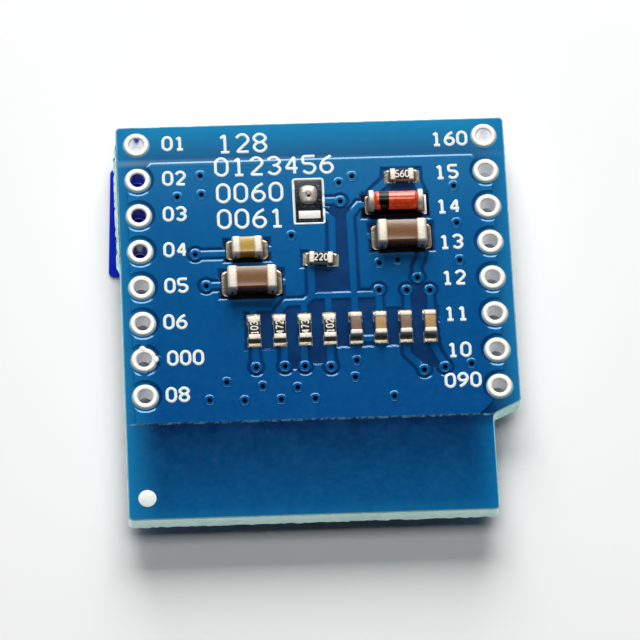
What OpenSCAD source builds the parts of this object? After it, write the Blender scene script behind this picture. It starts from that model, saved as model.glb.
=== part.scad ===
// Small OLED display module: a plug-on board with two header rows, its
// component side up and its display glass face down on the table.
// X runs across the board, Y towards its plain end, and Z up out of the
// component side. The origin is the middle of the header grid, on the
// plane that the display's protective film rests on.

/* [Board] */
// Width of the board
board_w = 25.5; // [25:0.1:30]
// Distance from the grid's middle to the plain end
board_north = 10.17; // [10:0.05:14]
// Distance from the grid's middle to the notched end
board_south = 17.33; // [12.5:0.05:22]
// Thickness over both solder masks
board_t = 1.6; // [1:0.1:2]
// Radius of the outer corners
corner_r = 0.25; // [0.1:0.05:0.6]
// How far the notch is cut into the side
notch_depth = 1.82; // [1.2:0.05:2.2]
// Distance from the grid's middle to the notch's shoulder
notch_y = 9.9; // [9.8:0.05:10.2]
// Slope of the notch's shoulder, in degrees
notch_slope = 26; // [10:1:40]
// Radius in the notch's inner corner
notch_r = 0.5; // [0.2:0.05:1]
// Step back of the solder mask from the board's edge
mask_edge = 0.07; // [0.03:0.01:0.2]

/* [Header holes] */
// Holes in each row
header_holes = 8; // [2:1:8]
// Distance between the holes of a row
header_pitch = 2.54; // [2:0.01:2.6]
// Distance between the two rows
header_span = 22.86; // [22:0.01:23]
// Finished diameter of a hole
hole_d = 1; // [0.7:0.05:1.1]
// Plating thickness on a hole's wall
plating_t = 0.05; // [0.03:0.01:0.08]
// Diameter of the tinned ring round a hole
ring_d = 1.67; // [1.4:0.01:1.8]

/* [Layers] */
// Copper thickness
copper_t = 0.07; // [0.03:0.005:0.1]
// Solder mask thickness
mask_t = 0.03; // [0.02:0.005:0.04]
// Gap between the copper pour and everything else
clearance = 0.27; // [0.15:0.01:0.3]
// Gap between a pad and the edge of its mask opening
mask_gap = 0.05; // [0.03:0.01:0.1]
// Width of a track
track_w = 0.4; // [0.2:0.01:0.45]
// Drill diameter of a via
via_d = 0.3; // [0.2:0.01:0.4]
// Diameter of the copper ring round a via
via_ring_d = 0.7; // [0.5:0.01:0.8]
// Thickness of the solder under a terminal
solder_t = 0.03; // [0.02:0.005:0.06]

/* [Chips] */
// Length of a small chip
small_l = 1.55; // [1.4:0.01:1.7]
// Width of a small chip
small_w = 0.8; // [0.7:0.01:0.9]
// Height of a resistor
resistor_h = 0.45; // [0.3:0.01:0.6]
// Height of a small capacitor
small_cap_h = 0.8; // [0.5:0.01:0.9]
// Terminal length on a small chip
small_terminal = 0.3; // [0.2:0.01:0.4]
// Length of the middle-sized capacitor
middle_l = 2.0; // [1.8:0.01:2.1]
// Width of the middle-sized capacitor
middle_w = 1.25; // [1.1:0.01:1.35]
// Height of the middle-sized capacitor
middle_h = 1.0; // [0.7:0.01:1.2]
// Terminal length on the middle-sized capacitor
middle_terminal = 0.5; // [0.3:0.01:0.6]
// Length of a large capacitor
large_l = 3.2; // [3:0.01:3.3]
// Width of a large capacitor
large_w = 1.65; // [1.5:0.01:1.75]
// Height of a large capacitor
large_h = 1.25; // [1:0.01:1.5]
// Terminal length on a large capacitor
large_terminal = 0.58; // [0.4:0.01:0.7]
// Thickness of a terminal's metal
terminal_t = 0.04; // [0.02:0.01:0.08]
// How far a pad reaches past the end of its chip
pad_reach = 0.34; // [0.2:0.01:0.4]

/* [Diode] */
// Length over the end caps
diode_l = 3.55; // [3.3:0.01:3.6]
// Diameter of the end caps
diode_d = 1.4; // [1.3:0.01:1.6]
// Length of an end cap
diode_cap_l = 0.35; // [0.3:0.01:0.6]
// Diameter of the glass sleeve
glass_d = 1.22; // [1.1:0.01:1.36]
// Bore of the glass sleeve
glass_bore = 0.86; // [0.6:0.01:0.95]
// Width of the cathode band
band_w = 0.55; // [0.3:0.01:0.8]

/* [Solder jumper] */
// Width of a jumper pad, across the row
jumper_w = 1.4; // [1:0.05:1.5]
// Height of a jumper pad, along the row
jumper_h = 0.62; // [0.4:0.01:0.7]
// Distance between the jumper pads
jumper_pitch = 0.95; // [0.85:0.01:1]
// Width of the solder blob
blob_w = 1.2; // [0.7:0.01:1.2]
// Height of the solder blob
blob_h = 0.3; // [0.15:0.01:0.4]

/* [Display] */
// Width of the display glass
display_w = 18.46; // [16:0.01:19]
// Length of the display glass
display_l = 18.1; // [16:0.01:18.5]
// Thickness of each of the two glasses
glass_t = 0.5; // [0.3:0.05:0.7]
// Length of the ledge that the rear glass leaves bare
ledge_l = 2.9; // [2.6:0.05:3.4]
// Thickness of the polarizer
polarizer_t = 0.2; // [0.1:0.01:0.3]
// Inset of the polarizer from the rear glass's outline
polarizer_inset = 0.35; // [0.1:0.05:1]
// Thickness of the adhesive tape
tape_t = 0.2; // [0.1:0.01:0.3]
// Inset of the tape from the rear glass's outline
tape_inset = 0.8; // [0.3:0.05:2]
// Thickness of the protective film
film_t = 0.08; // [0.05:0.01:0.15]
// How far the film stands out past the polarizer on the tab's side
film_overhang = 1.2; // [0.8:0.05:2]
// Distance from the grid's middle to the tab's outer edge
tab_reach = 13.5; // [13:0.05:16]
// Distance from the grid's middle to the middle of the tab
tab_y = 4.65; // [3:0.05:5.5]
// Width of the tab at its outer edge
tab_w = 7.85; // [5:0.05:8.5]
// Thickness of the tab
tab_t = 0.06; // [0.04:0.01:0.1]

/* [Flex cable] */
// Width of the flex cable
flex_w = 15; // [10:0.1:16]
// Thickness of the flex cable
flex_t = 0.08; // [0.05:0.01:0.12]
// How far the flex cable's bend stands out past the glass
flex_reach = 0.9; // [0.6:0.05:1.4]
// Number of joints between the flex cable and the board
flex_joints = 20; // [8:1:20]
// Distance between those joints
flex_pitch = 0.7; // [0.5:0.01:0.73]
// Length of the driver chip
driver_w = 10; // [6:0.1:11]
// Width of the driver chip
driver_l = 1; // [0.6:0.05:1.2]
// Height of the driver chip
driver_h = 0.3; // [0.2:0.01:0.4]

/* [Hidden] */
$fn = 32;

mask_blue = [0.04, 0.36, 0.62];
fibreglass = [0.72, 0.78, 0.68];
copper = [0.80, 0.48, 0.28];
tin = [0.85, 0.86, 0.84];
solder = [0.75, 0.76, 0.75];
alumina = [0.88, 0.87, 0.84];
resistor_black = [0.05, 0.05, 0.06];
brown = [0.45, 0.31, 0.20];
grey_brown = [0.48, 0.39, 0.30];
tan_brown = [0.68, 0.50, 0.29];
ochre = [0.65, 0.51, 0.23];
diode_orange = [0.86, 0.28, 0.12];
display_grey = [0.20, 0.22, 0.25];
glass_tint = [0.62, 0.70, 0.72];
tab_blue = [0.05, 0.14, 0.70];
flex_amber = [0.62, 0.36, 0.10];

// Heights of the stack, from the film's outer face up to the components.
z_polarizer = film_t;
z_glass = z_polarizer + polarizer_t;
z_rear_glass = z_glass + glass_t;
z_tape = z_rear_glass + glass_t;
z_front_mask = z_tape + tape_t;
z_front_copper = z_front_mask + mask_t;
z_laminate = z_front_copper + copper_t;
laminate_t = board_t - 2 * (copper_t + mask_t);
z_back_copper = z_laminate + laminate_t;
z_pad = z_back_copper + copper_t;
z_top = z_pad + mask_t;
z_seat = z_pad + solder_t;

// Header grid.
header_x = header_span / 2;
header_y = [for (i = [0:header_holes - 1])
    (i - (header_holes - 1) / 2) * header_pitch];
ground_hole = [-header_x, header_y[1]];

// Chips: place, turn, length, width, height and terminal length.
row_x = [-4.25, -2.6, -0.95, 0.65, 2.35, 3.94, 5.58, 7.15];
row_y = -4.55;
small_resistor = [small_l, small_w, resistor_h, small_terminal];
small_cap = [small_l, small_w, small_cap_h, small_terminal];
middle_cap = [middle_l, middle_w, middle_h, middle_terminal];
large_cap = [large_l, large_w, large_h, large_terminal];
RESISTORS = [
    [[row_x[0], row_y], 90, small_resistor],
    [[row_x[1], row_y], 90, small_resistor],
    [[row_x[2], row_y], 90, small_resistor],
    [[row_x[3], row_y], 90, small_resistor],
    [[0.30, 0.32], -3.5, small_resistor],
    [[5.88, 6.08], 0, small_resistor]];
CAPACITORS = [
    [[row_x[4], row_y], 90, small_cap, grey_brown],
    [[row_x[5], row_y], 90, small_cap, tan_brown],
    [[row_x[6], row_y], 90, small_cap, grey_brown],
    [[row_x[7], row_y], 90, small_cap, tan_brown],
    [[-4.48, 1.15], 0, middle_cap, ochre],
    [[-4.26, -1.22], 0, large_cap, brown],
    [[5.63, 1.76], 0, large_cap, brown]];
CHIPS = concat(RESISTORS, CAPACITORS);
DIODE = [5.34, 4.08];
JUMPER = [-0.30, 4.48];

// A pad starts under the terminal's inner end and reaches past the chip.
function pad_length(size) = size[3] + pad_reach;
function pad_offset(size) = size[0] / 2 + pad_reach - pad_length(size) / 2;
function pad_at(chip, side) = chip[0]
    + side * pad_offset(chip[2]) * [cos(chip[1]), sin(chip[1])];
diode_pad_l = diode_cap_l + mask_gap + pad_reach / 2;
diode_pad_w = diode_d + mask_gap;
function diode_pad(side) = DIODE
    + [side * (diode_l / 2 + pad_reach / 2 - diode_pad_l / 2), 0];
function jumper_pad(i) = JUMPER + [0, i * jumper_pitch];

// Vias that end a track, by the piece that they serve.
via_middle_cap = [-7.85, 0.93];
via_left_cap = [-7.22, -1.32];
via_jumper = [1.76, 4.42];
via_bus = [3.98, -1.95];
via_right_cap = [6.53, -1.16];
via_row_top = [[5.79, -2.03], [7.28, -2.07]];
via_row_bottom = [[-4.22, -7.13], [-2.36, -7.11], [-1.07, -7.14], [0.62, -7.23]];
via_row_end = [[6.63, -7.63], [7.98, -7.48]];
TRACK_VIAS = concat([via_middle_cap, via_left_cap, via_jumper, via_bus,
    via_right_cap], via_row_top, via_row_bottom, via_row_end);
POUR_VIAS = [[-7.32, 6.53], [-8.88, 5.05], [-7.30, 5.17], [1.73, 5.76],
    [2.61, 6.19], [-1.54, 2.08], [9.25, 5.30], [9.30, 2.65], [9.35, 0.00],
    [4.10, -0.05], [5.30, 0.15], [2.30, -6.85], [2.15, -8.00], [9.70, -7.30],
    [-6.15, -8.10], [-3.85, -8.45], [-1.60, -8.60], [-7.30, -9.30],
    [-5.05, -9.40], [-2.70, -9.40], [-0.50, -9.40], [4.60, -9.40]];
VIAS = concat(TRACK_VIAS, POUR_VIAS);

// Tracks. The bus runs west from its via and steps down to the row.
bus_y = via_bus.y - 0.29;
bus_step = bus_y - 0.42;
left_of_row = row_x[1] + 0.55;
row_top = pad_at(CHIPS[0], 1).y;
row_bottom = pad_at(CHIPS[0], -1).y;
middle_left = pad_at(RESISTORS[4], -1);
middle_right = pad_at(RESISTORS[4], 1);
TRACKS = concat([
    [via_middle_cap, [pad_at(CAPACITORS[4], -1).x, via_middle_cap.y]],
    [via_left_cap, [pad_at(CAPACITORS[5], -1).x, via_left_cap.y]],
    [jumper_pad(0), [1.2, jumper_pad(0).y], via_jumper],
    [jumper_pad(-1), [0.62, jumper_pad(-1).y + 0.05],
     [middle_right.x + 0.02, jumper_pad(-1).y - 0.36], middle_right],
    [[-0.36, middle_left.y], [-0.36, bus_y]],
    [[via_bus.x, bus_y], [-0.42, bus_y], [-0.84, bus_step],
     [left_of_row, bus_step], [row_x[1], bus_step - 0.55], [row_x[1], row_top]],
    [[row_x[2], bus_step], [row_x[2], row_top]],
    [[row_x[3], bus_y], [row_x[3], row_top]],
    [diode_pad(-1) + [0, 0.05], [2.95, DIODE.y + 0.05], [row_x[4], DIODE.y - 0.65],
     [row_x[4], row_top]],
    [via_bus, [row_x[5], via_bus.y - 0.4], [row_x[5], row_top]],
    [via_row_top[0], [via_row_top[0].x, row_top]],
    [via_row_top[1], [via_row_top[1].x, row_top]],
    [pad_at(CAPACITORS[6], 1), [pad_at(CAPACITORS[6], 1).x - 0.28, 0.25],
     [via_right_cap.x, -0.35], via_right_cap],
    [[row_x[6], row_bottom], [row_x[6], -6.45], via_row_end[0]],
    [[row_x[7], row_bottom], [row_x[7] + 0.15, row_bottom - 0.6], via_row_end[1]],
    [pad_at(RESISTORS[5], -1), pad_at(RESISTORS[5], -1) - [0.1, 0.2],
     diode_pad(-1) + [0.2, 0.85], diode_pad(-1)],
    [pad_at(RESISTORS[5], 1), [diode_pad(1).x, 5.2], diode_pad(1)],
    [[row_x[4], row_bottom], [row_x[5], row_bottom]]],
    [for (i = [0:3]) [[via_row_bottom[i].x, row_bottom - 0.15], via_row_bottom[i]]]);

// Short spokes that join a grounded pad to the pour.
spoke_l = 2 * clearance + track_w;
function spoke(from, direction, reach) = [from, from + (reach + spoke_l) * direction];
SPOKES = [
    spoke(pad_at(RESISTORS[0], 1), [0, 1], 0.3),
    spoke(pad_at(CAPACITORS[0], -1), [0, -1], 0.3),
    spoke(pad_at(CAPACITORS[1], -1), [0, -1], 0.3),
    spoke(pad_at(CAPACITORS[4], 1), [1, 0], 0.3),
    spoke(pad_at(CAPACITORS[5], 1), [1, 0], 0.3),
    spoke(pad_at(CAPACITORS[6], -1) + [0, 0.1], [-1, 0], 0.2),
    spoke(jumper_pad(1), [-1, 0], jumper_w / 2 - 0.2),
    spoke(ground_hole, [1, 0], ring_d / 2 - 0.2),
    spoke(ground_hole, [0, 1], ring_d / 2 - 0.4),
    spoke(ground_hole, [0, -1], ring_d / 2 - 0.4)];

// The pour's outline, with the corners that the end holes take away.
pour_west = -12.1;
pour_east = 11.75;
pour_north = 7.5;
pour_south = -10.8;
POUR = [[pour_west, pour_south], [10.05, pour_south], [10.87, pour_south + 0.82],
    [10.87, -header_y[header_holes - 1]], [pour_east, -header_y[header_holes - 1]],
    [pour_east, 6.35], [10.9, 7.1], [10.5, pour_north],
    [-10.5, pour_north], [-10.9, 7.1], [pour_west, 6.35]];

// Bare areas that the pour leaves between closely set pieces.
KEEPOUTS = [
    [[row_x[0] - 0.63, row_top + 0.58], [row_x[7] + 0.6, row_top + 0.58],
     [row_x[7] + 0.65, row_bottom - 0.55], [row_x[0] - 0.63, row_bottom - 0.55]],
    [[row_x[1], row_top], [row_x[1], bus_step], [-0.84, bus_step], [-0.42, bus_y],
     [via_bus.x, bus_y], [via_bus.x, row_top]],
    [[5.12, -5.5], [5.12, -6.58], [6.1, -7.6], via_row_end[0], via_row_end[1],
     [8.1, -6.8], [7.75, -5.5]],
    [[via_row_bottom[1].x, -5.8], [via_row_bottom[2].x, -5.8],
     [via_row_bottom[2].x, -7.38], [via_row_bottom[1].x, -7.38]],
    [[via_row_bottom[2].x, -5.8], [via_row_bottom[3].x, -5.8],
     [via_row_bottom[3].x, -7.05], [via_row_bottom[2].x, -7.05]],
    [[-0.36, bus_y], [row_x[4], bus_y], [row_x[4], 3.45], [2.55, 3.75],
     [2.1, 4.2], [1.0, 4.2], [1.0, 0.2], [-0.36, 0.2]],
    [via_row_top[0], via_right_cap, via_row_top[1],
     [via_row_top[1].x, row_top], [via_row_top[0].x, row_top]],
    [[4.47, 6.8], [7.2, 6.8], [7.2, 5.2], [7.62, 5.05], [7.62, 3.0], [3.0, 3.08],
     [3.0, 4.9], [3.3, 5.0], [4.4, 6.1]]];

// ---- Flat shapes ----

function unit(v) = v / norm(v);
function left_of(v) = [-v.y, v.x];

// Corner i of an open path, moved sideways by d along its mitre.
function mitre(path, i, d) =
    let (last = len(path) - 1,
         arriving = unit(i == 0 ? path[1] - path[0] : path[i] - path[i - 1]),
         leaving = i == last ? arriving : unit(path[i + 1] - path[i]),
         bisector = unit(left_of(arriving) + left_of(leaving)))
    path[i] + d * bisector / (bisector * left_of(arriving));

function track_outline(path, d) = concat(
    [for (i = [0:len(path) - 1]) mitre(path, i, d)],
    [for (i = [len(path) - 1:-1:0]) mitre(path, i, -d)]);

// 1 where a closed outline runs anticlockwise, -1 where it runs clockwise.
function turn_of(outline, i = 0, sum = 0) = i == len(outline) ? sign(sum)
    : let (a = outline[i], b = outline[(i + 1) % len(outline)])
      turn_of(outline, i + 1, sum + a.x * b.y - b.x * a.y);

// A closed outline moved out by d all round, with its corners kept sharp.
function grown(outline, d) =
    let (n = len(outline), out = -turn_of(outline))
    [for (i = [0:n - 1])
        let (arriving = unit(outline[i] - outline[(i + n - 1) % n]),
             leaving = unit(outline[(i + 1) % n] - outline[i]),
             bisector = unit(left_of(arriving) + left_of(leaving)))
        outline[i] + out * d * bisector / (bisector * left_of(arriving))];

// The arc of radius r that rounds the corner b between a and c.
function corner_arc(a, b, c, r, steps = 6) =
    let (u = unit(a - b), v = unit(c - b), half = acos(u * v) / 2,
         centre = b + unit(u + v) * r / sin(half),
         start = b + u * r / tan(half) - centre,
         end = b + v * r / tan(half) - centre,
         from = atan2(start.y, start.x),
         turned = atan2(end.y, end.x) - from,
         sweep = turned > 180 ? turned - 360 : turned < -180 ? turned + 360 : turned)
    [for (k = [0:steps]) let (angle = from + sweep * k / steps)
        centre + r * [cos(angle), sin(angle)]];

function rounded(outline, radii) =
    let (n = len(outline))
    [for (i = [0:n - 1])
        each corner_arc(outline[(i + n - 1) % n], outline[i],
            outline[(i + 1) % n], radii[i])];

module disc(at, d) {
    translate(at)
        circle(d = d);
}

module discs(places, d) {
    for (at = places)
        disc(at, d);
}

module tracks(paths, grow) {
    for (path = paths)
        polygon(track_outline(path, track_w / 2 + grow));
}

// A rectangle centred on a place, turned, and grown all round.
module plate(at, turn, size, grow = 0) {
    translate(at)
        rotate(turn)
            square([size.x + 2 * grow, size.y + 2 * grow], center = true);
}

// ---- Bare board ----

// The board's corners, from its lower left one, anticlockwise. The lower
// right side steps in at the notch, whose inner corner is rounded.
notch_x = board_w / 2 - notch_depth;
BOARD = [[-board_w / 2, -board_south], [notch_x, -board_south],
    [notch_x, -notch_y - notch_depth * tan(notch_slope)],
    [board_w / 2, -notch_y], [board_w / 2, board_north], [-board_w / 2, board_north]];

module board_outline(step_back = 0) {
    convex = corner_r;
    concave = notch_r + step_back;
    polygon(rounded(grown(BOARD, -step_back),
        [convex, convex, concave, convex, convex, convex]));
}

header_places = [for (x = [-header_x, header_x], y = header_y) [x, y]];
drill_d = hole_d + 2 * plating_t;
via_drill_d = via_d + 2 * plating_t;

module laminate() {
    color(fibreglass)
        translate([0, 0, z_laminate])
            linear_extrude(laminate_t)
                difference() {
                    board_outline();
                    discs(header_places, drill_d);
                    discs(VIAS, via_drill_d);
                }
}

// ---- Copper and solder mask ----

function pad_size(chip) = [pad_length(chip[2]), chip[2][1]];

module component_pads(grow = 0) {
    for (chip = CHIPS, side = [-1, 1])
        plate(pad_at(chip, side), chip[1], pad_size(chip), grow);
    for (side = [-1, 1])
        plate(diode_pad(side), 0, [diode_pad_l, diode_pad_w], grow);
    for (i = [-1:1])
        plate(jumper_pad(i), 0, [jumper_w, jumper_h], grow);
}

// Everything that the pour keeps clear of, less grow.
module pour_gaps(grow) {
    gap = clearance - grow;
    tracks(TRACKS, gap);
    component_pads(gap);
    discs(TRACK_VIAS, via_ring_d + 2 * gap);
    discs(header_places, ring_d + 2 * gap);
    for (area = KEEPOUTS)
        polygon(grown(area, -grow));
}

// The copper on the component side, grown by the given amount.
module back_copper(grow = 0) {
    difference() {
        polygon(grown(POUR, grow));
        pour_gaps(grow);
    }
    tracks(TRACKS, grow);
    tracks(SPOKES, grow);
    component_pads(grow);
    discs(VIAS, via_ring_d + 2 * grow);
}

// The copper on the display side: a pour behind the glass, via rings and
// the pads of the flex cable, just south of the tape.
display_south = -display_l / 2;
rear_south = display_south + ledge_l;
tape_south = rear_south + tape_inset;
FRONT_POUR = [[-10, tape_south], [10, tape_south], [10, 9.2], [-10, 9.2]];
flex_end = tape_south - 0.15;
flex_pad = [flex_pitch - 0.3, 0.8];
flex_pad_y = flex_end - 0.1 - flex_pad.y / 2;
flex_pads = [for (i = [0:flex_joints - 1])
    [(i - (flex_joints - 1) / 2) * flex_pitch, flex_pad_y]];

module flex_pad_plates(grow = 0) {
    for (at = flex_pads)
        plate(at, 0, flex_pad, grow);
}

module front_copper(grow = 0) {
    difference() {
        polygon(grown(FRONT_POUR, grow));
        discs(TRACK_VIAS, via_ring_d + 2 * (clearance - grow));
    }
    discs(VIAS, via_ring_d + 2 * grow);
    flex_pad_plates(grow);
}

module copper_back() {
    color(copper)
        translate([0, 0, z_back_copper])
            linear_extrude(copper_t)
                difference() {
                    back_copper();
                    discs(header_places, ring_d);
                    discs(VIAS, via_drill_d);
                }
}

module copper_front() {
    color(copper)
        translate([0, 0, z_front_copper])
            linear_extrude(copper_t)
                difference() {
                    front_copper();
                    discs(VIAS, via_drill_d);
                }
}

// A mask that follows the relief of the copper below it. Its children are
// the copper grown by the mask's thickness, the copper, and the openings.
module conformal_mask() {
    difference() {
        union() {
            linear_extrude(mask_t)
                board_outline(mask_edge);
            linear_extrude(copper_t + mask_t)
                children(0);
        }
        translate([0, 0, -mask_t])
            linear_extrude(mask_t + copper_t)
                children(1);
        translate([0, 0, -mask_t])
            linear_extrude(copper_t + 3 * mask_t)
                children(2);
    }
}

module solder_mask_back() {
    color(mask_blue)
        translate([0, 0, z_back_copper])
            conformal_mask() {
                back_copper(mask_t);
                back_copper();
                union() {
                    component_pads(mask_gap);
                    discs(header_places, ring_d + 2 * mask_gap);
                    discs(VIAS, via_d);
                }
            }
}

module solder_mask_front() {
    color(mask_blue)
        translate([0, 0, z_laminate])
            mirror([0, 0, 1])
                conformal_mask() {
                    front_copper(mask_t);
                    front_copper();
                    union() {
                        flex_pad_plates(mask_gap);
                        discs(header_places, ring_d + 2 * mask_gap);
                        discs(VIAS, via_d);
                    }
                }
}

// A plated hole is one turned shape: the wall and a tinned ring at each end,
// whose outer edge is rounded.
ring_t = copper_t + mask_t;
ring_edge = 0.05;

module plated_hole() {
    wall = hole_d / 2;
    rim = ring_d / 2;
    half = laminate_t / 2;
    rotate_extrude()
        polygon(concat(
            [[wall, -half - ring_t]],
            corner_arc([wall, -half - ring_t], [rim, -half - ring_t],
                [rim, -half], ring_edge),
            [[rim, -half], [wall + plating_t, -half],
             [wall + plating_t, half], [rim, half]],
            corner_arc([rim, half], [rim, half + ring_t],
                [wall, half + ring_t], ring_edge),
            [[wall, half + ring_t]]));
}

module header_holes(side) {
    color(tin)
        for (y = header_y)
            translate([side * header_x, y, z_laminate + laminate_t / 2])
                plated_hole();
}

module via_barrels() {
    color(copper)
        translate([0, 0, z_front_copper])
            linear_extrude(laminate_t + 2 * copper_t)
                for (at = VIAS)
                    translate(at)
                        difference() {
                            circle(d = via_drill_d);
                            circle(d = via_d);
                        }
}

// ---- Chips ----

module at_chip(chip) {
    translate([chip[0].x, chip[0].y, z_seat])
        rotate(chip[1])
            children();
}

// A block along X with its four long edges rounded, standing on Z = 0.
module bar(l, w, h, r) {
    translate([-l / 2, 0, h / 2])
        rotate([90, 0, 90])
            linear_extrude(l)
                union() {
                    square([w - 2 * r, h], center = true);
                    square([w, h - 2 * r], center = true);
                    for (x = [-1, 1], y = [-1, 1])
                        translate([x * (w / 2 - r), y * (h / 2 - r)])
                            circle(r);
                }
}

cap_edge = 0.08;

module ceramic(size) {
    translate([0, 0, terminal_t])
        bar(size[0] - 2 * terminal_t, size[1] - 2 * terminal_t,
            size[2] - 2 * terminal_t, cap_edge);
}

module capacitor_body(i) {
    color(CAPACITORS[i][3])
        at_chip(CAPACITORS[i])
            ceramic(CAPACITORS[i][2]);
}

// Two metal ends, each a cap that the ceramic fills.
module capacitor_terminals(i) {
    size = CAPACITORS[i][2];
    color(tin)
        at_chip(CAPACITORS[i])
            difference() {
                for (side = [-1, 1])
                    translate([side * (size[0] - size[3]) / 2, 0, 0])
                        bar(size[3], size[1], size[2], cap_edge + terminal_t);
                ceramic(size);
            }
}

module substrate(size) {
    translate([0, 0, size[2] / 2])
        cube([size[0] - 2 * terminal_t, size[1], size[2] - 2 * terminal_t],
            center = true);
}

module resistor_body(i) {
    color(alumina)
        at_chip(RESISTORS[i])
            substrate(RESISTORS[i][2]);
}

// The dark coat on top, between the terminals.
coat_edge = 0.04;

module resistor_coat(i) {
    size = RESISTORS[i][2];
    color(resistor_black)
        at_chip(RESISTORS[i])
            translate([0, 0, size[2] - terminal_t / 2])
                cube([size[0] - 2 * size[3], size[1] - 2 * coat_edge, terminal_t],
                    center = true);
}

module resistor_terminals(i) {
    size = RESISTORS[i][2];
    color(tin)
        at_chip(RESISTORS[i])
            difference() {
                for (side = [-1, 1])
                    translate([side * (size[0] - size[3]) / 2, 0, size[2] / 2])
                        cube([size[3], size[1], size[2]], center = true);
                substrate(size);
            }
}

// The side view of one joint, from the pad's inner end out: a film under
// the terminal and a hollow fillet that climbs the terminal's end face.
function fillet_view(size, rise, steps = 6) =
    let (end = size[0] / 2, inner = end - size[3], run = pad_reach - mask_gap)
    concat([[inner, 0], [end + run, 0]],
        [for (k = [0:steps]) let (angle = 90 * (1 - k / steps))
            [end + run * (1 - cos(angle)), solder_t + rise * (1 - sin(angle))]],
        [[end, solder_t], [inner, solder_t]]);

module chip_solder(chip, rise) {
    size = chip[2];
    for (side = [0, 180])
        translate([chip[0].x, chip[0].y, z_pad])
            rotate(chip[1] + side)
                translate([0, (size[1] - 2 * mask_gap) / 2, 0])
                    rotate([90, 0, 0])
                        linear_extrude(size[1] - 2 * mask_gap)
                            polygon(fillet_view(size, rise));
}

module resistor_solder() {
    color(solder)
        for (chip = RESISTORS)
            chip_solder(chip, chip[2][2] * 0.75);
}

module capacitor_solder() {
    color(solder)
        for (chip = CAPACITORS)
            chip_solder(chip, chip[2][2] * 0.55);
}

// ---- Diode ----

glass_seat = 0.14;
glass_l = diode_l - 2 * (diode_cap_l - glass_seat);
die_size = 0.3;
diode_z = z_seat + diode_d / 2;
band_t = 0.02;
band_x = -0.78;

// A rod along X, centred at x on the diode's axis.
module diode_rod(x, l, d) {
    translate([DIODE.x + x - l / 2, DIODE.y, diode_z])
        rotate([0, 90, 0])
            cylinder(h = l, d = d);
}

module diode_glass() {
    color(diode_orange)
        difference() {
            diode_rod(0, glass_l, glass_d);
            diode_rod(0, glass_l + 1, glass_bore);
        }
}

// Two metal slugs fill the sleeve up to the die between them.
module diode_slugs() {
    slug_l = (glass_l - die_size) / 2;
    color(copper)
        for (side = [-1, 1])
            diode_rod(side * (glass_l - slug_l) / 2, slug_l, glass_bore);
}

module diode_die() {
    color(resistor_black)
        translate([DIODE.x, DIODE.y, diode_z])
            cube(die_size, center = true);
}

module diode_band() {
    color(resistor_black)
        difference() {
            diode_rod(band_x, band_w, glass_d + 2 * band_t);
            diode_rod(band_x, band_w + 1, glass_d);
        }
}

module diode_end_caps() {
    edge = 0.1;
    color(tin)
        for (side = [-1, 1])
            translate([DIODE.x + side * diode_l / 2, DIODE.y, diode_z])
                rotate([0, -90 * side, 0])
                    rotate_extrude()
                        polygon(concat(
                            [[0, 0]],
                            corner_arc([0, 0], [diode_d / 2, 0],
                                [diode_d / 2, diode_cap_l], edge),
                            [[diode_d / 2, diode_cap_l], [glass_d / 2, diode_cap_l],
                             [glass_d / 2, diode_cap_l - glass_seat],
                             [0, diode_cap_l - glass_seat]]));
}

// Solder cradles each end cap and runs out over its pad.
module diode_solder() {
    rise = diode_d * 0.3;
    run = diode_pad_l - diode_cap_l;
    size = [diode_l, diode_pad_w, diode_d, diode_cap_l];
    color(solder)
        difference() {
            for (side = [0, 180])
                translate([DIODE.x, DIODE.y, z_pad])
                    rotate(side) {
                        translate([diode_l / 2 - diode_cap_l, -diode_pad_w / 2 + mask_gap, 0])
                            cube([diode_cap_l, diode_pad_w - 2 * mask_gap, rise]);
                        translate([diode_l / 2, diode_pad_w / 2 - mask_gap, 0])
                            rotate([90, 0, 0])
                                linear_extrude(diode_pad_w - 2 * mask_gap)
                                    polygon([[0, 0], [run - mask_gap, 0],
                                        [run - mask_gap, solder_t], [0, rise]]);
                    }
            for (side = [-1, 1])
                diode_rod(side * (diode_l - diode_cap_l) / 2, diode_cap_l, diode_d);
        }
}

// ---- Solder jumper ----

// A low capsule of solder over the upper two pads, cut flat by the pads.
module jumper_solder() {
    half = blob_w / 2;
    r = (half * half + blob_h * blob_h) / (2 * blob_h);
    reach = jumper_pitch + jumper_h * 0.7 - blob_w;
    middle = (jumper_pad(0) + jumper_pad(1)) / 2;
    color(solder)
        intersection() {
            translate([middle.x, middle.y, z_pad + blob_h - r]) {
                rotate([90, 0, 0])
                    cylinder(h = reach, r = r, center = true);
                for (side = [-1, 1])
                    translate([0, side * reach / 2, 0])
                        sphere(r);
            }
            translate([middle.x - blob_w, middle.y - blob_w - reach, z_pad])
                cube([2 * blob_w, 2 * (blob_w + reach), blob_h + 1]);
        }
}

// ---- Display ----

rear_l = display_l - ledge_l;

// A slab behind the rear glass's outline, drawn in by inset.
module display_slab(z, t, inset) {
    translate([-display_w / 2 + inset, rear_south + inset, z])
        cube([display_w - 2 * inset, rear_l - 2 * inset, t]);
}

module display_glass() {
    color(display_grey)
        translate([-display_w / 2, display_south, z_glass])
            cube([display_w, display_l, glass_t]);
}

module display_rear_glass() {
    color(display_grey)
        display_slab(z_rear_glass, glass_t, 0);
}

module polarizer() {
    color(display_grey)
        display_slab(z_polarizer, polarizer_t, polarizer_inset);
}

module adhesive_tape() {
    color([0.9, 0.9, 0.86])
        display_slab(z_tape, tape_t, tape_inset);
}

polarizer_west = -display_w / 2 + polarizer_inset;

module protective_film() {
    color(glass_tint)
        translate([polarizer_west - film_overhang, rear_south + polarizer_inset, 0])
            cube([display_w - 2 * polarizer_inset + film_overhang,
                rear_l - 2 * polarizer_inset, film_t]);
}

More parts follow.
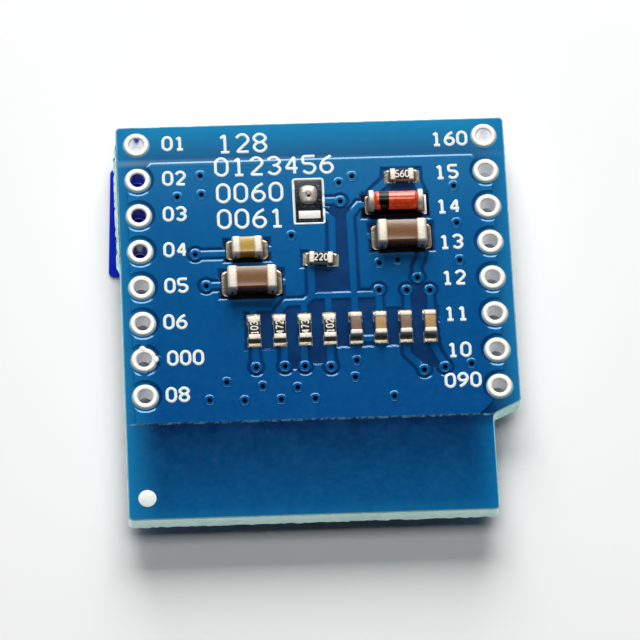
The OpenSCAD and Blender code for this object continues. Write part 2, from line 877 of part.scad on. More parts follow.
// The tab is bonded to the film's overhang and narrows towards it. Its
// outer edge leans a little.
tab_taper = 0.5;
tab_lean = 0.35;
tab_r = 0.4;
tab_bond_gap = 0.05;

module pull_tab() {
    inner = polarizer_west - tab_bond_gap;
    south = tab_y - tab_w / 2;
    north = tab_y + tab_w / 2;
    color(tab_blue)
        translate([0, 0, film_t])
            linear_extrude(tab_t)
                polygon(rounded([[-tab_reach, south], [inner, south + tab_taper],
                    [inner, north - tab_taper], [-tab_reach + tab_lean, north]],
                    [tab_r, tab_bond_gap, tab_bond_gap, tab_r]));
}

module driver_chip() {
    gap = 0.35;
    color(resistor_black)
        translate([-driver_w / 2, rear_south - gap - driver_l, z_rear_glass])
            cube([driver_w, driver_l, driver_h]);
}

// The flex cable leaves the ledge, turns back up round the glass's edge and
// ends flat on the board's pads.
flex_bond = 0.9;

module flex_cable() {
    outer = (z_front_mask - z_rear_glass) / 2;
    bend_y = display_south - flex_reach + outer;
    color(flex_amber)
        rotate([90, 0, 90])
            translate([0, 0, -flex_w / 2])
                linear_extrude(flex_w)
                    union() {
                        translate([bend_y, z_rear_glass])
                            square([display_south + flex_bond - bend_y, flex_t]);
                        translate([bend_y, z_front_mask - flex_t])
                            square([flex_end - bend_y, flex_t]);
                        translate([bend_y, z_rear_glass + outer])
                            difference() {
                                circle(outer);
                                circle(outer - flex_t);
                                translate([0, -outer])
                                    square(2 * outer);
                            }
                    }
}

module flex_solder() {
    color(solder)
        translate([0, 0, z_front_mask])
            linear_extrude(mask_t)
                flex_pad_plates();
}

laminate();
copper_back();
copper_front();
solder_mask_back();
solder_mask_front();
header_holes(-1);  // header_holes_left
header_holes(1);  // header_holes_right
via_barrels();
jumper_solder();
resistor_solder();
capacitor_solder();
diode_solder();
diode_glass();
diode_slugs();
diode_die();
diode_band();
diode_end_caps();
display_glass();
display_rear_glass();
polarizer();
protective_film();
pull_tab();
adhesive_tape();
driver_chip();
flex_cable();
flex_solder();
for (i = [0:len(RESISTORS) - 1]) {
    name = str("resistor_", i + 1);
    resistor_body(i);
    resistor_coat(i);
    resistor_terminals(i);
}
for (i = [0:len(CAPACITORS) - 1]) {
    name = str("capacitor_", i + 1);
    capacitor_body(i);
    capacitor_terminals(i);
}
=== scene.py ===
# %% [markdown]
# # A small display module, component side up
# The part is a plug-on circuit board 25.5 mm wide. It lies on its display, so what shows is
# the back: blue lacquer over copper tracks, two rows of tinned holes, small chips, a glass
# diode and a solder jumper. The CAD model gives every piece its place and size. This script
# gives each one its soft edges, its print and its finish.

# %% Load the frame
import math
import random
from contextlib import contextmanager
from functools import partial

import bmesh
import bpy
from mathutils import Matrix, Vector
from mathutils.bvhtree import BVHTree


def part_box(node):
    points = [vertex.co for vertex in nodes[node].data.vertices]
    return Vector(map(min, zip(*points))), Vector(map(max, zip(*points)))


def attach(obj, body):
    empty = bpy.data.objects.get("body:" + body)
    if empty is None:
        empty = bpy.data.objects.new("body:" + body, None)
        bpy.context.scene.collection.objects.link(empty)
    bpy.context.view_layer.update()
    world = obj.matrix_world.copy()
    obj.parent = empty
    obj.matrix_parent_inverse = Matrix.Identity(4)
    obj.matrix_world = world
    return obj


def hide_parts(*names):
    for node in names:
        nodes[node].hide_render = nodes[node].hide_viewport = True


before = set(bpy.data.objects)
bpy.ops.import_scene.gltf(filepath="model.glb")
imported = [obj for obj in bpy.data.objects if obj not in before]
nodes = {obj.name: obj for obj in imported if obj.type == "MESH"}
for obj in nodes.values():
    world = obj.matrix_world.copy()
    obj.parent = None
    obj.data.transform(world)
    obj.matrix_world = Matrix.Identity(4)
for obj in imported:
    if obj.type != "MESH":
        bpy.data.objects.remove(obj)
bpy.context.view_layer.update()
random.seed(7)
print("nodes in the frame:", len(nodes))

# %% [markdown]
# ## Working in millimetres
# The pieces are tiny, and Blender's edit tools work best on shapes a few units across. So
# each piece is modelled in millimetres and brought down to metres when it is done.

# %% Helpers for modelling
MM = 0.001
select_all = partial(bpy.ops.mesh.select_all, action="SELECT")
select_none = partial(bpy.ops.mesh.select_all, action="DESELECT")


def hold(*pieces):
    """Makes some pieces the only selected objects, with the first one active."""
    bpy.ops.object.select_all(action="DESELECT")
    for piece in pieces:
        piece.select_set(True)
    bpy.context.view_layer.objects.active = pieces[0]


@contextmanager
def editing(piece, kind="FACE"):
    """Edit mode on one piece, with nothing selected at the start."""
    hold(piece)
    bpy.ops.object.mode_set(mode="EDIT")
    bpy.ops.mesh.select_mode(type=kind)
    select_none()
    yield bmesh.from_edit_mesh(piece.data)
    bpy.ops.object.mode_set(mode="OBJECT")


def pick(parts, chosen):
    """Selects the vertices, edges or faces that chosen is true for."""
    for part in parts:
        if chosen(part):
            part.select_set(True)


def new_piece(name):
    """Names the primitive that was just added."""
    piece = bpy.context.active_object
    piece.name = piece.data.name = name
    return piece


def linked(name, data):
    """A new object in the scene."""
    thing = bpy.data.objects.new(name, data)
    bpy.context.scene.collection.objects.link(thing)
    return thing


def copy_of(node, name):
    """A merged copy of a CAD node's mesh in millimetres, its upright walls made of quads."""
    piece = linked(name, nodes[node].data.copy())
    piece.data.transform(Matrix.Scale(1 / MM, 4))
    with editing(piece) as mesh:
        select_all()
        bpy.ops.mesh.remove_doubles(threshold=1e-4)
        select_none()
        mesh = bmesh.from_edit_mesh(piece.data)
        mesh.normal_update()
        pick(mesh.faces, lambda face: abs(face.normal.z) < 0.05)
        bpy.ops.mesh.tris_convert_to_quads(face_threshold=math.radians(1), shape_threshold=math.pi)
    return piece


def settle(piece, finish, replaced=(), smooth=40):
    """Brings a piece down to metres, gives it a named finish and hands it to the frame."""
    hold(piece)
    piece.data.transform(piece.matrix_world)
    piece.matrix_world = Matrix.Identity(4)
    piece.data.transform(Matrix.Scale(MM, 4))
    if smooth:
        bpy.ops.object.shade_smooth_by_angle(angle=math.radians(smooth))
    piece.data.materials.clear()
    piece.data.materials.append(FINISHES[finish])
    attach(piece, "root")
    if replaced:
        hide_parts(*replaced)
    print(f"{piece.name}: {len(piece.data.polygons)} faces")


# %% [markdown]
# ## Measuring the frame
# A CAD node such as the tinned holes holds several separate solids. This helper splits a
# node into them, and their corner points give each one's centre and size.

# %% Helpers for measuring
def islands(node):
    """The corner points, in millimetres, of each separate solid of a CAD node."""
    mesh = bmesh.new()
    mesh.from_mesh(nodes[node].data)
    bmesh.ops.scale(mesh, vec=(1 / MM,) * 3, verts=mesh.verts)
    bmesh.ops.remove_doubles(mesh, verts=mesh.verts, dist=1e-4)
    waiting, found = set(mesh.verts), []
    while waiting:
        front, solid = [waiting.pop()], []
        while front:
            corner = front.pop()
            solid.append(corner.co.copy())
            for edge in corner.link_edges:
                other = edge.other_vert(corner)
                if other in waiting:
                    waiting.remove(other)
                    front.append(other)
        found.append(solid)
    mesh.free()
    return found


def middle(points):
    """The centre of the box round some points."""
    return Vector([(min(axis) + max(axis)) / 2 for axis in zip(*points)])


def span(points, direction):
    """The lowest and highest reach of some points along a direction."""
    reach = [point.dot(direction) for point in points]
    return min(reach), max(reach)


def box_mm(node):
    """The low and high corner of a CAD node in millimetres."""
    return [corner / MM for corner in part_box(node)]


hole_places = [middle(solid) for side in ("left", "right") for solid in islands(f"header_holes_{side}")]
via_places = [middle(solid) for solid in islands("via_barrels")]
rows = {sign: sorted((spot for spot in hole_places if spot.x * sign > 0), key=lambda spot: -spot.y)
        for sign in (-1, 1)}
board_low, board_high = box_mm("laminate")
tab_low, tab_high = box_mm("pull_tab")
top_z = box_mm("solder_mask_back")[1].z
pour_low = box_mm("copper_back")[0].y
print("holes:", len(hole_places), "vias:", len(via_places), "lacquer top at", round(top_z, 3), "mm")

# %% [markdown]
# ## The camera
# The view looks down on the board from its notched end, about 23 degrees off the vertical,
# through a long lens that keeps the board's sides nearly parallel.

# %% Place the camera
CAMERA_AT = (-16.36, -131.64, 309.56)
CAMERA_TURN = (22.708, -1.948, -2.677)
FOCAL_LENGTH = 288.8

camera = linked("camera", bpy.data.cameras.new("camera"))
camera.location = Vector(CAMERA_AT) * MM
camera.rotation_euler = [math.radians(angle) for angle in CAMERA_TURN]
camera.data.lens = FOCAL_LENGTH
camera.data.sensor_width = 36
camera.data.clip_start = 0.01
bpy.context.scene.camera = camera
print("camera is", round(camera.location.length * 1000), "mm away")

# %% [markdown]
# ## Light
# A big softbox stands beyond the plain end of the board, so edges that face it draw bright
# lines and edges that face the camera go dark. That makes the shallow relief of the copper
# readable. A weaker overhead panel and a dim world keep the tops at their true colours.

# %% Set the lights
def softbox(name, at, aim, size, power):
    """A rectangular lamp at one point that looks at another, in metres and watts."""
    lamp = bpy.data.lights.new(name, "AREA")
    lamp.shape = "RECTANGLE"
    lamp.size, lamp.size_y = size
    lamp.energy = power
    holder = linked(name, lamp)
    holder.location = at
    holder.rotation_euler = (Vector(aim) - Vector(at)).to_track_quat("-Z", "Y").to_euler()


softbox("far_softbox", (0.0, 0.46, 0.3), (0, 0, 0), (0.44, 0.46), 4.9)
softbox("overhead_panel", (0.0, 0.02, 0.6), (0, 0, 0), (0.3, 0.2), 0.9)

world = bpy.data.worlds.new("studio")
bpy.context.scene.world = world
world.use_nodes = True
sky = world.node_tree.nodes["Background"].inputs
sky["Color"].default_value = (0.9, 0.95, 1.0, 1)
sky["Strength"].default_value = 0.02
bpy.context.scene.view_settings.view_transform = "Standard"
print("lights:", [lamp.name for lamp in bpy.data.lights])

# %% [markdown]
# ## Building finishes
# Every finish starts from a Principled shader. Its colour drifts a little between two tones,
# its gloss is broken by a fine grain, and a bump gives the grain some depth. The patterns
# read Object coordinates scaled to millimetres, so sizes in these recipes are real sizes.
# Noise seldom leaves the middle of its scale, so it is read between two limits there.

# %% Helpers for finishes
CLOUD_RANGE = (0.3, 0.7)


def rgb(red, green, blue):
    """A colour given in the usual 0 to 255 steps, as Blender's linear values."""
    def linear(step):
        share = step / 255
        return share / 12.92 if share <= 0.04045 else ((share + 0.055) / 1.055) ** 2.4
    return (linear(red), linear(green), linear(blue), 1)


def scaled(colour, share):
    """A colour made darker or lighter."""
    return (*(min(1, channel * share) for channel in colour[:3]), 1)


def add(tree, kind, inputs=(), **settings):
    """Adds a node. A value that is an output socket is linked, and any other is set."""
    node = tree.nodes.new("ShaderNode" + kind)
    for name, value in settings.items():
        setattr(node, name, value)
    for name, value in dict(inputs).items():
        if isinstance(value, bpy.types.NodeSocket):
            tree.links.new(value, node.inputs[name])
        else:
            node.inputs[name].default_value = value
    return node


def maths(tree, operation, *values):
    """One step of arithmetic on sockets and numbers."""
    return add(tree, "Math", dict(enumerate(values)), operation=operation).outputs[0]


def place(tree):
    """The point on the piece in millimetres."""
    where = add(tree, "TexCoord").outputs["Object"]
    return add(tree, "Mapping", {"Vector": where, "Scale": (1 / MM,) * 3}).outputs[0]


def clouds(tree, size, detail=3.0):
    """Soft noise whose patches are about size millimetres across."""
    noise = add(tree, "TexNoise", {"Vector": place(tree), "Scale": 1 / size, "Detail": detail})
    return noise.outputs[0]


def ramp(tree, factor, stops):
    """A colour ramp. Each stop is (position, colour)."""
    node = add(tree, "ValToRGB", {"Fac": factor})
    points = node.color_ramp.elements
    while len(points) < len(stops):
        points.new(0.5)
    for point, (position, colour) in zip(points, stops):
        point.position = position
        point.color = colour
    return node.outputs[0]


def between(tree, value, low, high, to_low=0.0, to_high=1.0):
    """Where a value lies between two limits, as a number from to_low to to_high."""
    node = add(tree, "MapRange", {0: value, 1: low, 2: high, 3: to_low, 4: to_high}, clamp=True)
    return node.outputs[0]


def mixed(tree, factor, first, second):
    """A mix of two colours."""
    colours = {0: factor, 6: first, 7: second}
    return add(tree, "Mix", colours, data_type="RGBA", clamp_factor=True).outputs[2]


def new_finish(name, **sockets):
    """A material with the given values set on its shader's own sockets."""
    material = bpy.data.materials.new(name)
    material.use_nodes = True
    shader = material.node_tree.nodes["Principled BSDF"]
    for socket, value in sockets.items():
        label = socket.replace("_", " ").title().replace("Ior", "IOR")
        shader.inputs[label].default_value = value
    return material, material.node_tree, shader


def surface_of(tree, shader, base, gloss, grain, depth):
    """Links the colour, breaks up the gloss and adds a fine bump, in millimetres."""
    tree.links.new(base, shader.inputs["Base Color"])
    noise = clouds(tree, grain)
    tree.links.new(between(tree, noise, *CLOUD_RANGE, *gloss), shader.inputs["Roughness"])
    bump = add(tree, "Bump", {"Height": noise, "Distance": depth * MM})
    tree.links.new(bump.outputs[0], shader.inputs["Normal"])


def drifting(name, colour, gloss, patch=0.6, drift=0.12, grain=0.08, depth=0.004, **sockets):
    """A finish of one colour that drifts in patches, with a fine grain."""
    material, tree, shader = new_finish(name, **sockets)
    ends = scaled(colour, 1 - drift), scaled(colour, 1 + drift)
    tones = ramp(tree, clouds(tree, patch), list(zip(CLOUD_RANGE, ends)))
    surface_of(tree, shader, tones, (gloss * 0.8, gloss * 1.25), grain, depth)
    return material


# %% [markdown]
# ## Metals, ceramics and plastics
# Each row gives a name, a colour and a gloss, then the size and strength of the colour's
# patches and the size and depth of the grain. Tin on the terminals is matt and a little
# creamy, and reflowed solder is darker and smoother. The walls of holes over the bare floor
# carry a painted glow, an emission that stands in for the light coming up from a white floor.

# %% Mix the plain finishes
FINISHES = {
    "tin": drifting("terminal_tin", rgb(222, 212, 196), 0.4, 0.12, 0.2, 0.07, 0.014, metallic=0.25),
    "ring_tin": drifting("ring_tin", rgb(240, 236, 228), 0.4, 0.5, 0.04, 0.12, 0.004, metallic=0.2),
    "pad_tin": drifting("flat_pad_tin", rgb(238, 235, 230), 0.5, 0.5, 0.03, 0.15, 0.003),
    # A near-black finish that paints the shade under and beside the larger chips.
    "painted_shade": drifting("painted_shade_sheets", rgb(2, 4, 12), 0.5, 0.5, 0.3, 0.15, 0.004, specular_ior_level=0.04),
    "barrel": drifting("plated_barrel", rgb(255, 252, 255), 0.12, 0.8, 0.04, 0.3, 0.001, metallic=0.94),
    # Painted glow: an emission stands in for light coming up from the floor through the holes.
    "painted_glow_barrel": drifting("painted_glow_barrel", rgb(255, 252, 255), 0.2, 0.5, 0.1, 0.25, 0.002, metallic=0.8,
                           emission_color=rgb(206, 208, 214), emission_strength=0.22),
    "solder": drifting("bright_solder", rgb(158, 147, 128), 0.22, 0.22, 0.35, 0.16, 0.012, metallic=0.6),
    "blob": drifting("cream_solder", rgb(182, 175, 166), 0.3, 0.3, 0.14, 0.12, 0.01, metallic=0.35),
    # Painted shade: the via walls are near-black navy for the shade inside the narrow holes.
    "painted_shade_via_barrel": drifting("painted_shade_via_barrel", rgb(10, 16, 34), 0.3, 0.3, 0.2, 0.1, 0.002),
    "alumina": drifting("white_alumina", rgb(206, 198, 184), 0.5, 0.2, 0.05),
    "coat": drifting("black_overcoat", rgb(12, 10, 12), 0.4, 0.2, 0.25, 0.05, 0.002, specular_ior_level=0.2),
    "number": drifting("resistor_number", rgb(232, 228, 218), 0.5, 0.3, 0.05, 0.05, 0.003),
    "print": drifting("white_print", rgb(232, 240, 236), 0.5, 0.3, 0.05, 0.05, 0.003),
    # Painted glow: a faint emission stands in for light scattered inside the diode's glass.
    "glass": drifting("orange_glass_painted_glow", rgb(205, 68, 27), 0.2, 0.28, 0.42, 1.0, 0.0, coat_weight=0.6,
                      coat_roughness=0.1, emission_color=rgb(235, 70, 30), emission_strength=0.16),
    "copper": drifting("bare_copper", rgb(190, 115, 75), 0.35, 0.4, 0.1, metallic=1.0),
    "band": drifting("band_print", rgb(6, 5, 6), 0.25, 0.2, 0.2, 0.05, 0.003, specular_ior_level=0.25),
    "silicon": drifting("polished_silicon", rgb(40, 42, 48), 0.12, 1.0, 0.2, 0.3, 0.001),
    "panel_glass": drifting("panel_glass", rgb(46, 50, 56), 0.05, 3.0, 0.1, 0.5, 0.001, coat_weight=1.0,
                            coat_roughness=0.03),
    "tape": drifting("foam_tape", rgb(232, 230, 220), 0.8, 0.5, 0.06, 0.1, 0.02),
    "flex": drifting("amber_flex", rgb(176, 108, 38), 0.25, 0.7, 0.1, 0.1, 0.002),
    "tab": drifting("tab_film", rgb(2, 34, 196), 0.4, 2.0, 0.1, 1.0, 0.003, specular_ior_level=0.05),
    "film": drifting("clear_film", rgb(225, 232, 240), 0.08, 2.0, 0.03, 1.0, 0.01,
                     transmission_weight=0.85, ior=1.45),
}
for name, colour, drift in (("brown", rgb(116, 75, 28), 0.12), ("grey_brown", rgb(130, 100, 80), 0.12),
                            ("tan", rgb(178, 140, 86), 0.12), ("ochre", rgb(182, 146, 48), 0.14)):
    FINISHES[f"cap_{name}"] = drifting(f"{name}_ceramic", colour, 0.27, 0.15, drift, 0.05, 0.003,
                                       coat_weight=0.5, coat_roughness=0.12)
print("finishes:", len(FINISHES))

# %% [markdown]
# ## The blue lacquer
# Solder mask is a translucent lacquer. Over copper it shines a clear mid blue and over the
# bare laminate it looks navy. The height of a point tells one from the other, because the
# lacquer follows the 0.07 mm relief. Both blues change along the board, and the navy carries
# a painted shadow just below the copper's lower edge and a painted teal glow near the plain
# end. A painted glow turns the lacquer teal near the long sides and beside the notch, where
# light would creep in through the glass fibre. A painted highlight runs along the copper's
# upper edge, and a speckled painted highlight runs along its lower edge.

# %% Mix the lacquer
HIGHLIGHT_LINE_AT = 7.57
SIDE_GLOW = 2.4
NOTCH_GLOW = 1.9
OVER_COPPER = [(0.25, rgb(1, 74, 138)), (0.55, rgb(3, 82, 142)), (0.75, rgb(14, 94, 154)),
               (0.88, rgb(30, 110, 164))]
# The navy over bare laminate, lighter at the notched end. The dark stops from 0.205 to 0.3 paint a shadow
# just below the copper's lower edge, and the last stops paint a teal glow near the plain end.
LAMINATE_BLUES_WITH_PAINTED_LIGHT = [(0.0, rgb(6, 98, 150)), (0.03, rgb(1, 80, 134)), (0.12, rgb(1, 66, 116)),
                 (0.205, rgb(1, 46, 92)), (0.23, rgb(0, 28, 74)), (0.3, rgb(8, 40, 90)),
                 (0.88, rgb(20, 60, 112)), (0.92, rgb(34, 100, 148)), (1.0, rgb(26, 138, 190))]

corners = [point for solid in islands("laminate") for point in solid
           if point.x > 0 and min((point - hole).xy.length for hole in hole_places) > 1]
notch_x = max(point.x for point in corners if point.y < board_low.y + 1)
notch_low = max(point.y for point in corners if abs(point.x - notch_x) < 0.1)


def lacquer():
    """Solder mask whose blue changes with the height and the place on the board."""
    material, tree, shader = new_finish("blue_lacquer", ior=1.75, specular_tint=(0.3, 0.68, 1.0, 1))
    across, along, height = add(tree, "SeparateXYZ", {0: place(tree)}).outputs

    def away_from(line):
        """How far a point lies from a line across the board."""
        return maths(tree, "ABSOLUTE", maths(tree, "SUBTRACT", along, line))

    length = between(tree, along, board_low.y, board_high.y)
    raised = between(tree, height, top_z - 0.055, top_z - 0.02)
    base = mixed(tree, raised, ramp(tree, length, LAMINATE_BLUES_WITH_PAINTED_LIGHT), ramp(tree, length, OVER_COPPER))
    sideways = maths(tree, "ABSOLUTE", across)
    # Painted glow: teal near the long sides and below the notch, standing in for light that creeps in
    # through the glass fibre.
    painted_side_glow = maths(tree, "POWER", between(tree, sideways, board_high.x - SIDE_GLOW, board_high.x), 1.6)
    below_notch = between(tree, along, notch_low + 0.1, notch_low - 0.9)
    painted_notch_glow = maths(tree, "POWER", between(tree, across, notch_x - NOTCH_GLOW, notch_x, 0, 0.8), 1.7)
    # Painted highlight: a pale line along the copper's upper edge, stronger towards the left.
    painted_highlight_line = between(tree, away_from(HIGHLIGHT_LINE_AT), 0.3, 0.05)
    # Painted highlight: a speckled pale line along the copper's lower edge.
    highlight_specks = between(tree, clouds(tree, 0.25, 2.0), 0.42, 0.6, 0.1, 0.8)
    rim = between(tree, away_from(pour_low - 0.02), 0.09, 0.03)
    for mask, colour in (
            (painted_side_glow, rgb(22, 122, 178)),
            (maths(tree, "MULTIPLY", painted_notch_glow, below_notch), rgb(10, 118, 178)),
            (between(tree, clouds(tree, 1.2), 0.35, 0.65, 0, 0.1), rgb(20, 110, 170)),
            (maths(tree, "MULTIPLY", painted_highlight_line, between(tree, across, 6, -8, 0.05, 0.32)), rgb(150, 180, 196)),
            (maths(tree, "MULTIPLY", rim, highlight_specks), rgb(110, 168, 190))):
        base = mixed(tree, mask, base, colour)
    surface_of(tree, shader, base, (0.11, 0.17), 0.35, 0.004)
    return material


def routed_fibre_with_painted_glow():
    """Pale glass fibre with a painted glow: the emission stands in for light that has run inside it and
    comes out at the routed edge.
    """
    material, tree, shader = new_finish("routed_fibre_with_painted_glow", emission_color=rgb(190, 240, 232),
                                        emission_strength=0.2)
    height = add(tree, "SeparateXYZ", {0: place(tree)}).outputs[2]
    near_lacquer = between(tree, height, board_high.z - 0.12, board_high.z)
    ends = rgb(212, 240, 236), rgb(240, 255, 252)
    tones = ramp(tree, clouds(tree, 0.5), list(zip(CLOUD_RANGE, ends)))
    # Teal at the top of the edge: the lacquer's blue with a painted highlight along its edge.
    base = mixed(tree, near_lacquer, tones, rgb(10, 130, 165))
    surface_of(tree, shader, base, (0.48, 0.75), 0.08, 0.02)
    return material


def burnt_flux_and_pit_shade():
    """Black burnt flux with glittering specks of solder in it. It also paints the shade in the blob's pit.
    """
    material, tree, shader = new_finish("burnt_flux_and_pit_shade", ior=1.5, specular_ior_level=0.15)
    tones = ramp(tree, clouds(tree, 0.11, 2.0), [
        (0.0, rgb(2, 4, 12)), (0.6, rgb(8, 14, 26)), (0.68, rgb(70, 92, 96)), (0.75, rgb(190, 198, 192))])
    surface_of(tree, shader, tones, (0.176, 0.275), 0.09, 0.02)
    return material


FINISHES.update(lacquer=lacquer(), fibre=routed_fibre_with_painted_glow(), flux=burnt_flux_and_pit_shade())
print("lacquer, fibre and flux mixed")

# %% [markdown]
# ## The lacquer's relief
# In CAD the lacquer steps down from the copper with square walls. Real lacquer flows, so its
# shoulders are long and soft. A bevel would fold over itself where two tracks run close, so
# the walls are worked one by one instead: each is cut into bands, and every band is pulled
# outwards at the foot and pressed inwards at the top, by no more than the room allows. Where
# a band turns sharply its edge stays a crease, so that a corner doesn't smear its shine
# along a whole track.

# %% Soften the lacquer's shoulders
RELIEF = 0.07
SHOULDER = [(0.07, 0.0), (0.035, 0.24), (0.0, 0.5), (-0.035, 0.76), (-0.07, 1.0)]
ROOM_SHARE = 0.4
SAME_HEIGHT = 0.004
PULL_BACKS = 6
CREASE = math.radians(24)

relief = copy_of("solder_mask_back", "lacquer_relief")
foot_z = top_z - RELIEF
walls = BVHTree.FromObject(relief, bpy.context.evaluated_depsgraph_get())


def room(spot, way, most):
    """How far a point can move before it has used its share of the gap ahead."""
    start = Vector((spot.x, spot.y, top_z - RELIEF / 4)) + way * 0.002
    gap = walls.ray_cast(start, way, 3 * most / ROOM_SHARE)[3]
    return most if gap is None else min(most, gap * ROOM_SHARE)


def is_column(edge):
    """True on an upright edge of the relief's walls."""
    low, high = sorted(vertex.co.z for vertex in edge.verts)
    return abs(low - foot_z) < SAME_HEIGHT and abs(high - top_z) < SAME_HEIGHT


def spot_key(point):
    """What the points of one column share."""
    return round(point.x, 3), round(point.y, 3)


def folded(face):
    """True on a level face of the upper skin that was turned over by the moves."""
    heights = [vertex.co.z for vertex in face.verts]
    flat = max(heights) - min(heights) < SAME_HEIGHT / 2
    return face.normal.z < 0 and flat and min(heights) > foot_z - SAME_HEIGHT


def sloped(face):
    """True on a face of the shoulders."""
    return 0.05 < face.normal.z < 0.999


columns, home = {}, {}
most_out, most_in = SHOULDER[0][0], -SHOULDER[-1][0]
with editing(relief, "EDGE") as mesh:
    mesh.normal_update()
    pick(mesh.edges, is_column)
    for edge in (edge for edge in mesh.edges if edge.select):
        first, second = (Vector((*face.normal.xy, 0)).normalized() for face in edge.link_faces)
        outward = (first + second).normalized()
        mitre = 1 / max(0.7, outward.dot(first))
        spot = edge.verts[0].co
        columns[spot_key(spot)] = (outward * mitre, room(spot, outward, most_out) / most_out,
                                   room(spot, -outward, most_in) / most_in)
    bpy.ops.mesh.subdivide(number_cuts=len(SHOULDER) - 2)
    mesh = bmesh.from_edit_mesh(relief.data)
    for vertex in mesh.verts:
        found = columns.get(spot_key(vertex.co))
        if found and vertex.co.z > foot_z - SAME_HEIGHT:
            home[vertex] = vertex.co.copy()
            outward, share_out, share_in = found
            band = round((vertex.co.z - foot_z) / RELIEF * (len(SHOULDER) - 1))
            shift, rise = SHOULDER[band]
            vertex.co += outward * shift * (share_out if shift > 0 else share_in)
            vertex.co.z = foot_z + RELIEF * rise
    for attempt in range(PULL_BACKS):
        mesh.normal_update()
        turned_over = [face for face in mesh.faces if folded(face)]
        print("folded faces:", len(turned_over))
        for vertex in {vertex for face in turned_over for vertex in face.verts if vertex in home}:
            vertex.co.xy = vertex.co.xy.lerp(home[vertex].xy, 0.5)

with editing(relief) as mesh:
    mesh.normal_update()
    pick(mesh.faces, sloped)
    bpy.ops.mesh.faces_shade_smooth()
with editing(relief, "EDGE") as mesh:
    mesh.normal_update()
    pick(mesh.edges, lambda edge: len(edge.link_faces) == 2 and all(map(sloped, edge.link_faces))
         and edge.calc_face_angle() > CREASE)
    bpy.ops.mesh.mark_sharp()

surface = BVHTree.FromObject(relief, bpy.context.evaluated_depsgraph_get())
settle(relief, "lacquer", ["solder_mask_back"], None)


def height_at(x, y):
    """The height of the lacquer under a point, in millimetres."""
    hit = surface.ray_cast(Vector((x, y, top_z + 1)), Vector((0, 0, -1)), 1.2)[0]
    return hit.z if hit else top_z - 0.05


# %% [markdown]
# ## Turned shapes
# A tinned hole is round, so it is drawn out of a circle: the loop is extruded and resized
# from point to point of the profile, as a potter pulls up a wall. One ring is made and set
# out at every hole, and the copies of a row are joined.

# %% Helpers for turned and repeated shapes
def turned(name, profile, sides=48):
    """A shape drawn out of a circle along a closed profile of (radius, height) points."""
    radius, height = profile[0]
    bpy.ops.mesh.primitive_circle_add(vertices=sides, radius=radius, location=(0, 0, 0))
    piece = new_piece(name)
    with editing(piece, "EDGE"):
        select_all()
        bpy.ops.transform.translate(value=(0, 0, height))
        for wider, higher in profile[1:] + profile[:1]:
            share = wider / radius
            bpy.ops.mesh.extrude_edges_move(TRANSFORM_OT_translate={"value": (0, 0, higher - height)})
            bpy.ops.transform.resize(value=(share, share, 1), center_override=(0, 0, higher))
            radius, height = wider, higher
        select_all()
        bpy.ops.mesh.remove_doubles(threshold=1e-4)
        bpy.ops.mesh.normals_make_consistent(inside=False)
    return piece


def joined(name, pieces):
    """Joins pieces into one."""
    hold(*pieces)
    bpy.ops.object.join()
    pieces[0].name = pieces[0].data.name = name
    return pieces[0]


def set_out(piece, places):
    """Copies a shape to each place and joins the copies into one piece."""
    name, copies = piece.name, []
    for spot in places:
        copy = piece.copy()
        copy.data = piece.data.copy()
        copy.location = spot
        bpy.context.scene.collection.objects.link(copy)
        copies.append(copy)
    bpy.data.objects.remove(piece)
    hold(*copies)
    bpy.ops.object.transform_apply(location=True, rotation=True, scale=True)
    return joined(name, copies)


# %% [markdown]
# ## Tinned holes
# Hot-air levelled tin stands a little proud of its pad and is rounded at both edges, so each
# ring catches the light on its far side. The plated walls come as two pieces: those over the
# blue tab mirror it, and those over the bare floor carry a painted glow for the light from below.

# %% Turn the tinned holes
hole_points = islands("header_holes_left")[0]
hole_middle = middle(hole_points)
SLIM = 0.02
RING_RADIUS = span(hole_points, Vector((1, 0, 0)))[1] - hole_middle.x - SLIM
HOLE_RADIUS = min((point - hole_middle).xy.length for point in hole_points) - SLIM
HALF_HOLE = span(hole_points, Vector((0, 0, 1)))[1] - hole_middle.z
BARREL_OUT = HOLE_RADIUS + 0.05
TIN_CROWN = 0.012

tin_profile = [
    (BARREL_OUT, HALF_HOLE - 0.1), (RING_RADIUS, HALF_HOLE - 0.1), (RING_RADIUS, HALF_HOLE - 0.04),
    (RING_RADIUS - 0.03, HALF_HOLE - 0.005), (RING_RADIUS - 0.1, HALF_HOLE + TIN_CROWN),
    (HOLE_RADIUS + 0.07, HALF_HOLE + TIN_CROWN), (HOLE_RADIUS + 0.02, HALF_HOLE - 0.01),
    (HOLE_RADIUS, HALF_HOLE - 0.05), (HOLE_RADIUS, HALF_HOLE - 0.1)]
foot_profile = [(radius, -height) for radius, height in tin_profile]
barrel_profile = [(BARREL_OUT, HALF_HOLE - 0.05), (HOLE_RADIUS + 0.002, HALF_HOLE - 0.05),
                  (HOLE_RADIUS + 0.002, -HALF_HOLE + 0.05), (BARREL_OUT, -HALF_HOLE + 0.05)]
for side, sign in (("left", -1), ("right", 1)):
    ring = joined(f"tinned_holes_{side}", [turned("tin", tin_profile), turned("tin", foot_profile)])
    settle(set_out(ring, rows[sign]), "ring_tin", [f"header_holes_{side}"])

over_tab = [spot for spot in rows[-1] if spot.y > tab_low.y]
over_floor = [spot for spot in rows[-1] + rows[1] if spot not in over_tab]
# The walls over the floor take the finish with the painted glow.
for name, finish, places in (("barrels_over_tab", "barrel", over_tab),
                             ("barrels_over_floor", "painted_glow_barrel", over_floor)):
    settle(set_out(turned(name, barrel_profile), places), finish)

# %% [markdown]
# ## Spokes with tin on them
# At the ground hole the tin runs out over the ends of two spokes in low bumps, made of
# spheres pressed flat.

